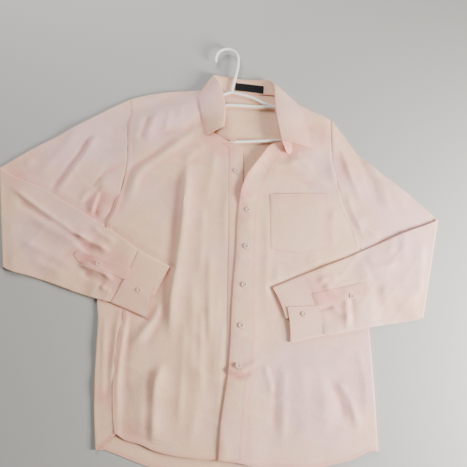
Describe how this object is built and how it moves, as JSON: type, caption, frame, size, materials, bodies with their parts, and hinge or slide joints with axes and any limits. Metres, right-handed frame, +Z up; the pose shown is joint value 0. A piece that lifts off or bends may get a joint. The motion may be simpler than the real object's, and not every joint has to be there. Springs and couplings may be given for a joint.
{
  "type": "dress shirt on a hanger",
  "caption": "Long-sleeved dress shirt laid flat on its back, collar open, forearms folded in over the front, with a slim plastic hanger inside it.",
  "frame": {"origin": "on the floor under the middle of the object, on the underside of the back panel", "axes": "+X to the viewer's right, which is the wearer's left; +Y towards the collar and the hook; +Z up from the floor"},
  "size_m": [0.9335, 0.917, 0.0259],
  "materials": {
    "cloth": "fine plain weave, matt, pale pink",
    "label": "bare black woven tape",
    "button": "semi-gloss, tone on tone",
    "hanger": "smooth, white"
  },
  "bodies": {
    "root": {"back": "cloth", "yoke": "cloth", "front_right": "cloth", "front_left": "cloth", "button_stand": "cloth", "placket": "cloth", "pocket": "cloth", "sleeve_right": "cloth", "sleeve_left": "cloth", "sleeve_placket_right": "cloth", "sleeve_placket_left": "cloth", "cuff_right": "cloth", "cuff_left": "cloth", "collar_stand": "cloth", "collar_leaf": "cloth", "label": "label", "button_1": "button", "button_2": "button", "button_3": "button", "button_4": "button", "button_5": "button", "button_open": "button", "cuff_button_right": "button", "cuff_button_left": "button", "gauntlet_button_right": "button", "gauntlet_button_left": "button", "hanger": "hanger"}
  },
  "joints": []
}
